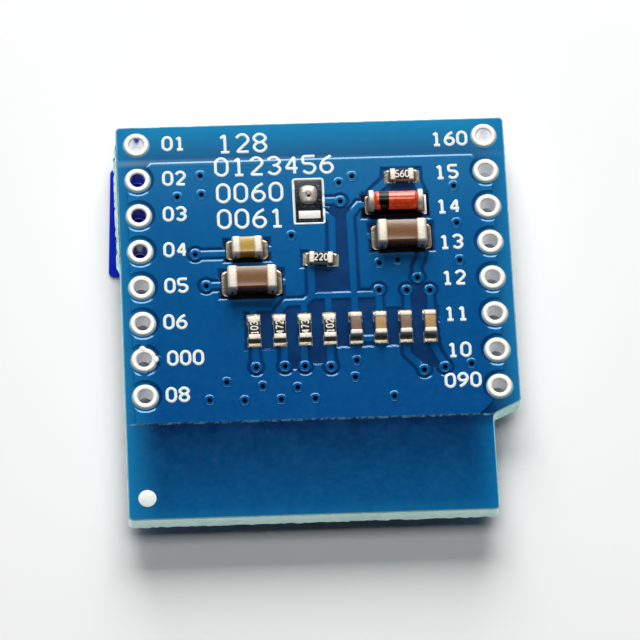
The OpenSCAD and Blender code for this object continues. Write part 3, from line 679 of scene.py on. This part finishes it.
# %% Add the tinned spokes of the ground hole
GROUND_HOLE = 6
BUMP_ANGLES = (0, 95)
BUMP_RADIUS = 0.24
BUMP_FLATNESS = 0.32
ground = rows[-1][GROUND_HOLE]
bumps = []
for angle in map(math.radians, BUMP_ANGLES):
    reach = Vector((math.cos(angle), math.sin(angle), 0)) * (RING_RADIUS - 0.06)
    bpy.ops.mesh.primitive_uv_sphere_add(segments=16, ring_count=8, radius=BUMP_RADIUS,
                                         location=ground + reach)
    bump = new_piece("spoke_bump")
    bump.location.z = ground.z + HALF_HOLE - 0.04
    bump.scale = (1, 1, BUMP_FLATNESS)
    bumps.append(bump)
settle(joined("spoke_bumps", bumps), "ring_tin", smooth=60)

# %% [markdown]
# ## Via lips
# Where the lacquer runs up to a drilled via it gathers in a small raised lip. The lip is the
# light arc that marks each via.

# %% Turn the via lips
LIP_OUT = 0.42
LIP_IN = 0.15
LIP_RISE = 0.03
LIP_SIDES = 32
lip_profile = [
    (LIP_OUT, -0.01), (LIP_OUT - 0.04, 0.008), (LIP_OUT - 0.08, LIP_RISE - 0.004),
    (LIP_OUT - 0.12, LIP_RISE), (LIP_IN + 0.02, LIP_RISE - 0.002),
    (LIP_IN + 0.005, LIP_RISE - 0.015), (LIP_IN, -0.05), (LIP_IN + 0.06, -0.06)]
places = [Vector((spot.x, spot.y, top_z)) for spot in via_places]
settle(set_out(turned("via_lips", lip_profile, LIP_SIDES), places), "lacquer")

# %% [markdown]
# ## The routed board
# The laminate's flat faces are hidden, and its routed edge is what shows: pale glass fibre,
# a little rough from the cutter. The outline's upright edges are cut into rows and its long
# edges into short steps, and the new corners are pushed in and out by a few hundredths of a
# millimetre, never past the board's faces. Over the tab the fibre has frayed outwards.

# %% Roughen the routed edge
BURR = 0.05
HIGH_BURR_SHARE = 0.4
LEFT_FRAY = 0.24
LOW_FRAYS = (0.2, 0.5, 1.0)
HIGH_FRAY = 0.3
EDGE_ROWS = 16
EDGE_CUTS = 90
SIDE_ZONE = 2.2
END_ZONE = 0.5

board = copy_of("laminate", "routed_board")


def near_side(point):
    """True on a point near the board's outline."""
    return (abs(point.x) > board_high.x - SIDE_ZONE or point.y < board_low.y + END_ZONE
            or point.y > board_high.y - END_ZONE)


def on_outline(edge):
    """True on a long edge on the outside of the board."""
    spot = edge.verts[0].co
    by_a_hole = min((spot - hole).xy.length for hole in hole_places) <= 1
    return edge.calc_length() > 0.6 and not by_a_hole and all(near_side(end.co) for end in edge.verts)


def level(edge):
    """True on an edge that runs flat."""
    return abs(edge.verts[0].co.z - edge.verts[1].co.z) < 0.01


with editing(board, "EDGE") as mesh:
    pick(mesh.edges, lambda edge: on_outline(edge) and not level(edge))
    bpy.ops.mesh.subdivide(number_cuts=EDGE_ROWS)
    select_none()
    mesh = bmesh.from_edit_mesh(board.data)
    pick(mesh.edges, lambda edge: on_outline(edge) and level(edge))
    bpy.ops.mesh.subdivide(number_cuts=EDGE_CUTS)
    mesh = bmesh.from_edit_mesh(board.data)
    cut = [vertex for vertex in mesh.verts if vertex.select]
    select_none()
    frays = {}
    for vertex in cut:
        low = vertex.co.z < (board_low.z + board_high.z) / 2
        fray = random.choice(LOW_FRAYS) if low else random.uniform(0.0, HIGH_FRAY)
        fray = frays.setdefault((low, round(vertex.co.y, 2)), fray)
        if vertex.co.x < board_low.x + 0.1 and tab_low.y - 0.3 < vertex.co.y < tab_high.y + 0.3:
            vertex.co.x -= fray * LEFT_FRAY
        else:
            shift = Vector([random.uniform(-BURR, BURR) for axis in range(3)])
            shift *= 1 if low else HIGH_BURR_SHARE
            shift.z = abs(shift.z) if low else -abs(shift.z)
            vertex.co += shift
settle(board, "fibre", ["laminate"], 30)

# %% [markdown]
# ## Chips
# The two metal ends of a chip tell where it lies, how it is turned and how big it is. A chip
# is modelled about the origin, along X, and then put on its seat.

# %% Helpers for chips
class Chip:
    """The place, turn and size of a chip, in millimetres."""

    def __init__(self, node):
        ends = sorted(islands(node), key=lambda points: middle(points).x + middle(points).y)
        points = ends[0] + ends[1]
        along = (middle(ends[1]) - middle(ends[0])).normalized()
        across = Vector((-along.y, along.x, 0))
        self.turn = math.atan2(along.y, along.x)
        self.middle = middle(points)
        self.length, self.width, self.height = (
            high - low for low, high in (span(points, axis) for axis in (along, across, Vector((0, 0, 1)))))
        low, high = span(ends[0], along)
        self.end_length = high - low
        self.seat = self.middle.z - self.height / 2

    def put(self, piece):
        """Moves a piece that was modelled about the origin to the chip's seat."""
        piece.matrix_world = (Matrix.Translation((self.middle.x, self.middle.y, self.seat))
                              @ Matrix.Rotation(self.turn, 4, "Z") @ piece.matrix_world)
        return piece


def block(name, size, at, radius, segments=3):
    """A cube brought to size, with all its edges rounded."""
    bpy.ops.mesh.primitive_cube_add(size=1, location=(0, 0, 0))
    piece = new_piece(name)
    piece.data.transform(Matrix.Translation(at) @ Matrix.Diagonal((*size, 1)))
    with editing(piece, "EDGE"):
        select_all()
        bpy.ops.mesh.bevel(offset=radius, segments=segments, profile=0.5)
    return piece


def add_ends(name, chip, size, radius, segments, replaced):
    """Two rounded metal ends, one over each end of a chip."""
    at = (chip.length - size[0]) / 2
    ends = [block("end", size, (side * at, 0, chip.height / 2), radius, segments) for side in (-1, 1)]
    settle(chip.put(joined(name, ends)), "tin", [replaced], 35)


# %% [markdown]
# ## Capacitors
# A capacitor is a fired ceramic block that was dipped in metal at each end. The block was
# tumbled in a barrel first, so its edges are round and the metal over them is round too.

# %% Build the capacitors
CERAMICS = {1: "cap_grey_brown", 2: "cap_tan", 3: "cap_grey_brown", 4: "cap_tan",
            5: "cap_ochre", 6: "cap_brown", 7: "cap_brown"}
SKIN = 0.04
CAP_ROUND = 0.13
WIDEST_ROUND = 1.3

capacitors = {number: Chip(f"capacitor_{number}_terminals") for number in CERAMICS}
for number, chip in capacitors.items():
    size = (chip.length - 2 * SKIN, chip.width - 2 * SKIN, chip.height - 2 * SKIN)
    ceramic = block(f"ceramic_{number}", size, (0, 0, chip.height / 2), CAP_ROUND * chip.width * 0.75)
    settle(chip.put(ceramic), CERAMICS[number], [f"capacitor_{number}_body"], 35)
    radius = CAP_ROUND * min(chip.width, WIDEST_ROUND)
    size = (chip.end_length + radius * 0.6, chip.width, chip.height)
    add_ends(f"metal_ends_{number}", chip, size, radius, 4, f"capacitor_{number}_terminals")

# %% [markdown]
# ## Resistors
# A resistor is a slab of white alumina with a black coat on top and a wrap of tin at each
# end.

# %% Build the resistors
RESISTOR_ROUND = 0.06
resistors = {number: Chip(f"resistor_{number}_terminals") for number in range(1, 7)}
for number, chip in resistors.items():
    slab = block(f"slab_{number}", (chip.length - 2 * SKIN, chip.width - 0.02, chip.height - 2 * SKIN),
                 (0, 0, chip.height / 2), 0.03)
    settle(chip.put(slab), "alumina", [f"resistor_{number}_body"], 35)
    coat = block(f"coat_{number}", (chip.length - 1.9 * chip.end_length, chip.width - 0.06, 0.06),
                 (0, 0, chip.height - 0.03), 0.025)
    settle(chip.put(coat), "coat", [f"resistor_{number}_coat"], 35)
    size = (chip.end_length + RESISTOR_ROUND, chip.width, chip.height + 0.02)
    add_ends(f"wrapped_ends_{number}", chip, size, RESISTOR_ROUND, 3, f"resistor_{number}_terminals")

# %% [markdown]
# ## Solder
# Molten solder climbs a terminal and runs out over its pad in a hollow curve. Each joint is
# a loop of the terminal's own outline, extruded down in steps while it widens, first slowly
# and then fast, until it covers the pad.

# %% Pull the solder fillets
PAD_REACH = 0.36
PAD_SIDE = 0.05
PAD_FLOOR = 0.03
FILLET_STEPS = 7


def fillet(length, width, rise, side, chip_length, reach=PAD_REACH):
    """One joint at the end of a chip that lies along X, standing on its pad."""
    bpy.ops.mesh.primitive_plane_add(size=1, location=(0, 0, 0))
    piece = new_piece("fillet")
    inner = side * (chip_length / 2 - length)
    with editing(piece, "EDGE"):
        select_all()
        bpy.ops.transform.resize(value=(length, width, 1))
        bpy.ops.transform.translate(value=(inner + side * length / 2, 0, rise))
        bpy.ops.mesh.bevel(offset=min(length, width) * 0.4, segments=4, affect="VERTICES")
        was_long, was_wide, was_high = length, width, rise
        for step in range(1, FILLET_STEPS + 1):
            share = step / FILLET_STEPS
            now_high = rise * (1 - share) ** 2
            spread = 1 - (1 - share * share) ** 0.5
            now_long = length + reach * spread
            now_wide = width + 2 * PAD_SIDE * spread
            bpy.ops.mesh.extrude_region_move(TRANSFORM_OT_translate={"value": (0, 0, now_high - was_high)})
            bpy.ops.transform.resize(value=(now_long / was_long, now_wide / was_wide, 1),
                                     center_override=(inner, 0, 0))
            was_long, was_wide, was_high = now_long, now_wide, now_high
        bpy.ops.mesh.extrude_region_move(TRANSFORM_OT_translate={"value": (0, 0, -PAD_FLOOR)})
        select_all()
        bpy.ops.mesh.normals_make_consistent(inside=False)
    return piece


def chip_joints(chip, rise):
    """Both joints of a chip, which climb the given share of its height."""
    pair = [fillet(chip.end_length, chip.width, chip.height * rise, side, chip.length) for side in (-1, 1)]
    return chip.put(joined("joints", pair))


for name, chips, rise in (("resistor_joints", resistors, 0.7), ("capacitor_joints", capacitors, 0.5)):
    piece = joined(name, [chip_joints(chip, rise) for chip in chips.values()])
    settle(piece, "solder", [name.replace("joints", "solder")], 50)

# %% [markdown]
# ## The diode
# The diode is a glass sleeve between two metal caps, lying on its side. Cylinders with
# rounded rims make all of it, and the glass narrows a little where it was melted onto the
# caps. The black band marks the cathode.

# %% Build the diode
BAND_TILT = -2
BAND_SPREAD = 0.1


def rod(name, radius, length, at, rim, segments=4):
    """A cylinder along X with rounded rims."""
    bpy.ops.mesh.primitive_cylinder_add(vertices=64, radius=radius, depth=length, location=(0, 0, 0))
    piece = new_piece(name)
    piece.data.transform(Matrix.Translation(at) @ Matrix.Rotation(math.pi / 2, 4, "Y"))
    with editing(piece, "EDGE") as mesh:
        pick(mesh.edges, lambda edge: max(len(face.verts) for face in edge.link_faces) > 4)
        bpy.ops.mesh.bevel(offset=rim, segments=segments, profile=0.5)
    return piece


diode = Chip("diode_end_caps")
axis = diode.middle
glass_low, glass_high = box_mm("diode_glass")
band_low, band_high = box_mm("diode_band")
glass_radius = (glass_high.y - glass_low.y) / 2
sleeve = rod("glass_sleeve", glass_radius, diode.length - 1.96 * diode.end_length, axis, 0.24, 8)
settle(sleeve, "glass", ["diode_glass"])
band = rod("cathode_band", (band_high.y - band_low.y) / 2 - 0.012, band_high.x - band_low.x + BAND_SPREAD,
           (0, 0, 0), 0.008, 1)
band.location = ((band_low.x + band_high.x) / 2, *axis.yz)
band.rotation_euler.z = math.radians(BAND_TILT)
settle(band, "band", ["diode_band"])
cap_out = (diode.length - diode.end_length) / 2
caps = [rod("cap", diode.width / 2, diode.end_length, (axis.x + side * cap_out, *axis.yz), 0.07)
        for side in (-1, 1)]
settle(joined("diode_caps", caps), "tin", ["diode_end_caps"])
cradles = [fillet(diode.end_length + 0.05, diode.width * 0.86, diode.height * 0.36, side, diode.length, 0.2)
           for side in (-1, 1)]
settle(diode.put(joined("diode_joints", cradles)), "solder", ["diode_solder"], 50)

# %% [markdown]
# ## The solder jumper
# Three small pads stand in a row, and a blob of solder bridges two of them. The blob is a
# sphere drawn towards a square, because the pads under it are square, then pressed flat,
# with a small pit where the iron left it.

# %% Build the jumper
BLOB_POLE = 0.16
BLOB_SQUARENESS = 0.3
PIT_DEPTH = 0.2
PIT_REACH = 0.1

blob_low, blob_high = box_mm("jumper_solder")
blob_size = blob_high - blob_low
blob_foot = Vector((*((blob_low + blob_high) / 2).xy, blob_low.z))
bpy.ops.mesh.primitive_uv_sphere_add(segments=40, ring_count=24, radius=1, location=(0, 0, 0))
blob = new_piece("jumper_blob")
squared = blob.modifiers.new("squared", "CAST")
squared.cast_type = "CUBOID"
squared.factor = BLOB_SQUARENESS
squared.use_z = False
bpy.ops.object.modifier_apply(modifier=squared.name)
with editing(blob, "VERT") as mesh:
    select_all()
    bpy.ops.transform.resize(value=(blob_size.x / 2, blob_size.y / 2, blob_size.z))
    select_none()
    pick(mesh.verts, lambda vertex: vertex.co.z > 0 and vertex.co.xy.length < BLOB_POLE)
    bpy.ops.transform.translate(value=(0, -BLOB_POLE, -PIT_DEPTH * 0.4))
    select_none()
    pole = Vector((0, -BLOB_POLE))
    pick(mesh.verts, lambda vertex: vertex.co.z > 0 and (vertex.co.xy - pole).length < PIT_REACH)
    bpy.ops.transform.translate(value=(0, 0, -PIT_DEPTH * 0.6))
blob.location = blob_foot
settle(blob, "blob", ["jumper_solder"], 60)

# %% [markdown]
# ## Painted shade round the larger chips
# A near-black sheet paints the shade under the larger chips and their joints. Each chip gets
# one sheet a little wider than its pads, lower than the solder, and a small pool of painted
# shadow on the side away from the softbox.

# %% Lay the painted shade
SHADE_MARGIN = 0.07
SHADE_T = 0.08
SHADE_DOWN = 0.015
SHADOW_POOL_SHARE = 0.94
SHADOW_POOL_DOWN = 0.17
SHADOW_POOL_OUT = 0.14
SHADOW_POOL_T = 0.04

shade_pieces = []
# Painted shade: a dark sheet under each chip and a shadow pool on its far side.
for chip in (capacitors[5], capacitors[6], capacitors[7], diode):
    size = (chip.length + 2 * PAD_REACH + 2 * SHADE_MARGIN, chip.width + 2.5 * SHADE_MARGIN, SHADE_T)
    shade_pieces.append(chip.put(block("sheet", size, (0, 0, -SHADE_T / 2 - SHADE_DOWN), 0.03, 2)))
    size = (chip.length * SHADOW_POOL_SHARE, chip.width + 2 * SHADOW_POOL_DOWN - SHADOW_POOL_OUT, SHADOW_POOL_T)
    shade_pieces.append(chip.put(block("pool", size, (0, -SHADOW_POOL_DOWN, 0), SHADOW_POOL_T / 2.5, 2)))
settle(joined("painted_shade_sheets", shade_pieces), "painted_shade")

# %% [markdown]
# ## Burnt flux and bare pads
# The blob sits in a frame of burnt flux, and a black disc in its pit paints the shade there.
# The third jumper pad and a strip of the diode's pad are bare and carry only flat bright tin.

# %% Add the flux and the bare pads
FLUX_SIZE = (1.78, 2.96)
FLUX_SHIFT = Vector((0.01, -0.48, 0.005))
JUMPER_PAD = (1.42, 0.56)
BARE_PAD_SHIFT = Vector((0.02, -1.42, 0.025))
DIODE_PAD_LENGTH = 0.22
PAD_T = 0.05


def tile(name, size, at, radius):
    """A thin block with its middle at a point of the board."""
    piece = block(name, size, (0, 0, 0), radius, 2)
    piece.location = at
    return piece


# Painted shade: a black disc in the blob's pit.
pit_shade = rod("blob_pit_shade", 0.11, 0.05, (0, 0, 0), 0.02, 2)
pit_shade.rotation_euler.y = math.pi / 2
pit_shade.location = blob_foot + Vector((0, -BLOB_POLE, blob_size.z - 0.045))
burnt = tile("burnt_flux_and_pit_shade", (*FLUX_SIZE, 0.06), blob_foot + FLUX_SHIFT, 0.025)
settle(joined("burnt_flux_and_pit_shade", [burnt, pit_shade]), "flux")
bare_pad = tile("bare_pad", (*JUMPER_PAD, PAD_T), blob_foot + BARE_PAD_SHIFT, 0.02)
at = (diode.middle.x + diode.length / 2 + 0.16, diode.middle.y - 0.04, blob_low.z + 0.01)
diode_pad = tile("diode_pad", (DIODE_PAD_LENGTH, diode.width, PAD_T), at, 0.02)
settle(joined("flat_tinned_pads", [bare_pad, diode_pad]), "pad_tin")

# %% [markdown]
# ## Print
# The white print is ink squeezed through a screen: strokes of one width that lie on the
# lacquer and dip where it dips. Each digit is a set of strokes on a grid one wide and one
# tall. The strokes become tubes, the tubes are pressed flat, and every point is laid on the
# surface under it.

# %% Draw the strokes of each digit
DIGITS = {
    "0": [[(0, 0.2), (0, 0.8), (0.3, 1), (0.7, 1), (1, 0.8), (1, 0.2), (0.7, 0), (0.3, 0), (0, 0.2)]],
    "1": [[(0.15, 0.8), (0.5, 1), (0.5, 0)], [(0.15, 0), (0.85, 0)]],
    "2": [[(0, 0.8), (0.3, 1), (0.7, 1), (1, 0.8), (1, 0.6), (0, 0), (1, 0)]],
    "3": [[(0, 0.85), (0.3, 1), (0.7, 1), (1, 0.8), (1, 0.65), (0.7, 0.5), (0.4, 0.5)],
          [(0.7, 0.5), (1, 0.35), (1, 0.2), (0.7, 0), (0.3, 0), (0, 0.15)]],
    "4": [[(0.75, 0), (0.75, 1), (0, 0.3), (1, 0.3)]],
    "5": [[(1, 1), (0, 1), (0, 0.55), (0.7, 0.55), (1, 0.4), (1, 0.2), (0.7, 0), (0.3, 0), (0, 0.15)]],
    "6": [[(0.9, 1), (0.35, 0.8), (0, 0.45), (0, 0.2), (0.3, 0), (0.7, 0), (1, 0.2), (1, 0.4),
           (0.7, 0.58), (0.1, 0.5)]],
    "7": [[(0, 1), (1, 1), (0.35, 0)]],
    "8": [[(0.3, 0.52), (0, 0.7), (0, 0.82), (0.3, 1), (0.7, 1), (1, 0.82), (1, 0.7), (0.7, 0.52),
           (0.3, 0.52), (0, 0.34), (0, 0.18), (0.3, 0), (0.7, 0), (1, 0.18), (1, 0.34), (0.7, 0.52)]],
    "9": [[(0.1, 0), (0.65, 0.2), (1, 0.55), (1, 0.8), (0.7, 1), (0.3, 1), (0, 0.8), (0, 0.6),
           (0.3, 0.42), (0.9, 0.5)]],
}
GLYPH_SHAPE = 0.62
GLYPH_STEP = 0.92


def number_strokes(text, left, foot, tall):
    """The strokes of a number whose lower left corner is at (left, foot)."""
    strokes = []
    for index, digit in enumerate(text):
        start = left + index * GLYPH_STEP * tall
        for stroke in DIGITS[digit]:
            strokes.append([Vector((start + x * GLYPH_SHAPE * tall, foot + y * tall)) for x, y in stroke])
    return strokes


def finely(stroke, step=0.15):
    """The stroke with points added, so that it can bend over the relief."""
    points = [stroke[0]]
    for start, end in zip(stroke, stroke[1:]):
        cuts = max(1, round((end - start).length / step))
        points += [start.lerp(end, cut / cuts) for cut in range(1, cuts + 1)]
    return points


def rounded(stroke, radius):
    """The stroke with each inner corner cut by a short curve."""
    points = [stroke[0]]
    for before, corner, after in zip(stroke, stroke[1:], stroke[2:]):
        start = corner + (before - corner).normalized() * min(radius, (before - corner).length / 2.1)
        end = corner + (after - corner).normalized() * min(radius, (after - corner).length / 2.1)
        for step in range(4):
            share = step / 3
            points.append(start.lerp(corner, share).lerp(corner.lerp(end, share), share))
    return points + [stroke[-1]]


def printed(name, strokes, width, ground, ink=0.022):
    """Ink strokes of one width, laid on the height that ground(x, y) gives."""
    curve = bpy.data.curves.new(name, "CURVE")
    curve.dimensions = "3D"
    curve.bevel_depth = width / 2
    curve.bevel_resolution = 2
    curve.use_fill_caps = True
    for stroke in strokes:
        closed = (stroke[0] - stroke[-1]).length < 1e-4
        points = finely(rounded(stroke, width * 0.8))
        if closed:
            points = points[:-1]
        line = curve.splines.new("POLY")
        line.points.add(len(points) - 1)
        line.use_cyclic_u = closed
        for point, (x, y) in zip(line.points, points):
            point.co = (x, y, 0, 1)
    hold(linked(name, curve))
    bpy.ops.object.convert(target="MESH")
    piece = new_piece(name)
    for vertex in piece.data.vertices:
        x, y, z = vertex.co
        vertex.co.z = ground(x, y) + ink * z / (width / 2)
    return piece


# %% [markdown]
# ## Numbers on the board
# A real board names its holes. Here plain numbers stand beside them and in the free corner.
# A small frame stands round the jumper, and a round dot marks one corner of the board.

# %% Print the numbers and the frame on the board
INK_WIDTH = 0.19
FRAME_WIDTH = 0.17
SMALL_TALL = 0.9
BIG_TALL = 1.25
NUMBER_DROP = 0.4
LEFT_NUMBERS = (("01", 1.75), ("02", 1.7), ("03", 1.65), ("04", 1.6), ("05", 1.58), ("06", 1.42),
                ("000", 1.58), ("08", 1.4))
RIGHT_NUMBERS = (("160", -3.38), ("15", -3.28), ("14", -3.3), ("13", -3.25), ("12", -3.22), ("11", -3.2),
                 ("10", -3.15), ("090", -3.45))
LIFTS = {"160": -0.2, "15": -0.08, "090": 0.42}
BLOCK_NUMBERS = (("128", -6.0, 8.2), ("0123456", -6.3, 6.5), ("0060", -6.25, 4.6), ("0061", -6.25, 2.75))
FRAME_CORNERS = ((-1.265, 2.935), (0.665, 2.935), (0.665, 6.065), (-1.265, 6.065), (-1.265, 2.935))
DOT_AT = (-11.53, -15.88)
DOT_RADIUS = 0.575

strokes = []
for sign, numbers in ((-1, LEFT_NUMBERS), (1, RIGHT_NUMBERS)):
    for hole, (text, start) in zip(rows[sign], numbers):
        foot = hole.y - NUMBER_DROP + LIFTS.get(text, 0)
        strokes += number_strokes(text, hole.x + start, foot, SMALL_TALL)
for text, left, foot in BLOCK_NUMBERS:
    strokes += number_strokes(text, left, foot, BIG_TALL)
numbers = printed("printed_numbers", strokes, INK_WIDTH, height_at)
settle(numbers, "print", smooth=60)
frame_line = printed("jumper_frame", [list(map(Vector, FRAME_CORNERS))], FRAME_WIDTH, height_at)
settle(frame_line, "print", smooth=60)
dot = rod("corner_dot", DOT_RADIUS, 0.03, (0, 0, 0), 0.01, 2)
dot.rotation_euler = (0, math.pi / 2, 0)
dot.location = (*DOT_AT, height_at(*DOT_AT) + 0.005)
settle(dot, "print")

# %% [markdown]
# ## Numbers on the resistors
# Each resistor carries three plain digits, squeezed to fit between its metal ends.

# %% Print the numbers on the resistors
RESISTOR_NUMBERS = {1: "103", 2: "472", 3: "473", 4: "102", 5: "220", 6: "560"}
NUMBER_TALL = 0.46
NUMBER_INK = 0.09
text_length = (2 * GLYPH_STEP + GLYPH_SHAPE) * NUMBER_TALL
for number, chip in resistors.items():
    squeeze = (chip.length - 2 * chip.end_length) * 0.92 / text_length
    strokes = [[Vector(((point.x - text_length / 2) * squeeze, point.y)) for point in stroke]
               for stroke in number_strokes(RESISTOR_NUMBERS[number], 0, -NUMBER_TALL / 2, NUMBER_TALL)]
    number_print = printed(f"number_{number}", strokes, NUMBER_INK, lambda x, y: chip.height, 0.012)
    settle(chip.put(number_print), "number", smooth=60)

# %% [markdown]
# ## Dressing the rest
# The other CAD nodes have the right shape already and take their finish directly.

# %% Dress the CAD nodes that stay
DRESS = {
    "copper_back": "solder", "copper_front": "copper", "solder_mask_front": "lacquer",
    # The via walls take the painted shade of the narrow holes.
    "via_barrels": "painted_shade_via_barrel", "diode_slugs": "copper", "diode_die": "silicon",
    "display_glass": "panel_glass", "display_rear_glass": "panel_glass",
    "polarizer": "silicon", "protective_film": "film", "pull_tab": "tab", "adhesive_tape": "tape",
    "driver_chip": "silicon", "flex_cable": "flex", "flex_solder": "solder",
}
for node, finish in DRESS.items():
    nodes[node].data.materials.clear()
    nodes[node].data.materials.append(FINISHES[finish])
print("dressed", len(DRESS), "CAD nodes")

# %% [markdown]
# ## The floor
# A plain pale sheet lies under the module and catches its soft shadow.

# %% Lay the floor
bpy.ops.mesh.primitive_plane_add(size=3, location=(0, 0, -0.00002))
floor = new_piece("floor")
paper, paper_tree, paper_shader = new_finish("floor_paper", roughness=0.9, specular_ior_level=0.1)
paper_shader.inputs["Base Color"].default_value = (0.94, 0.94, 0.94, 1)
floor.data.materials.append(paper)
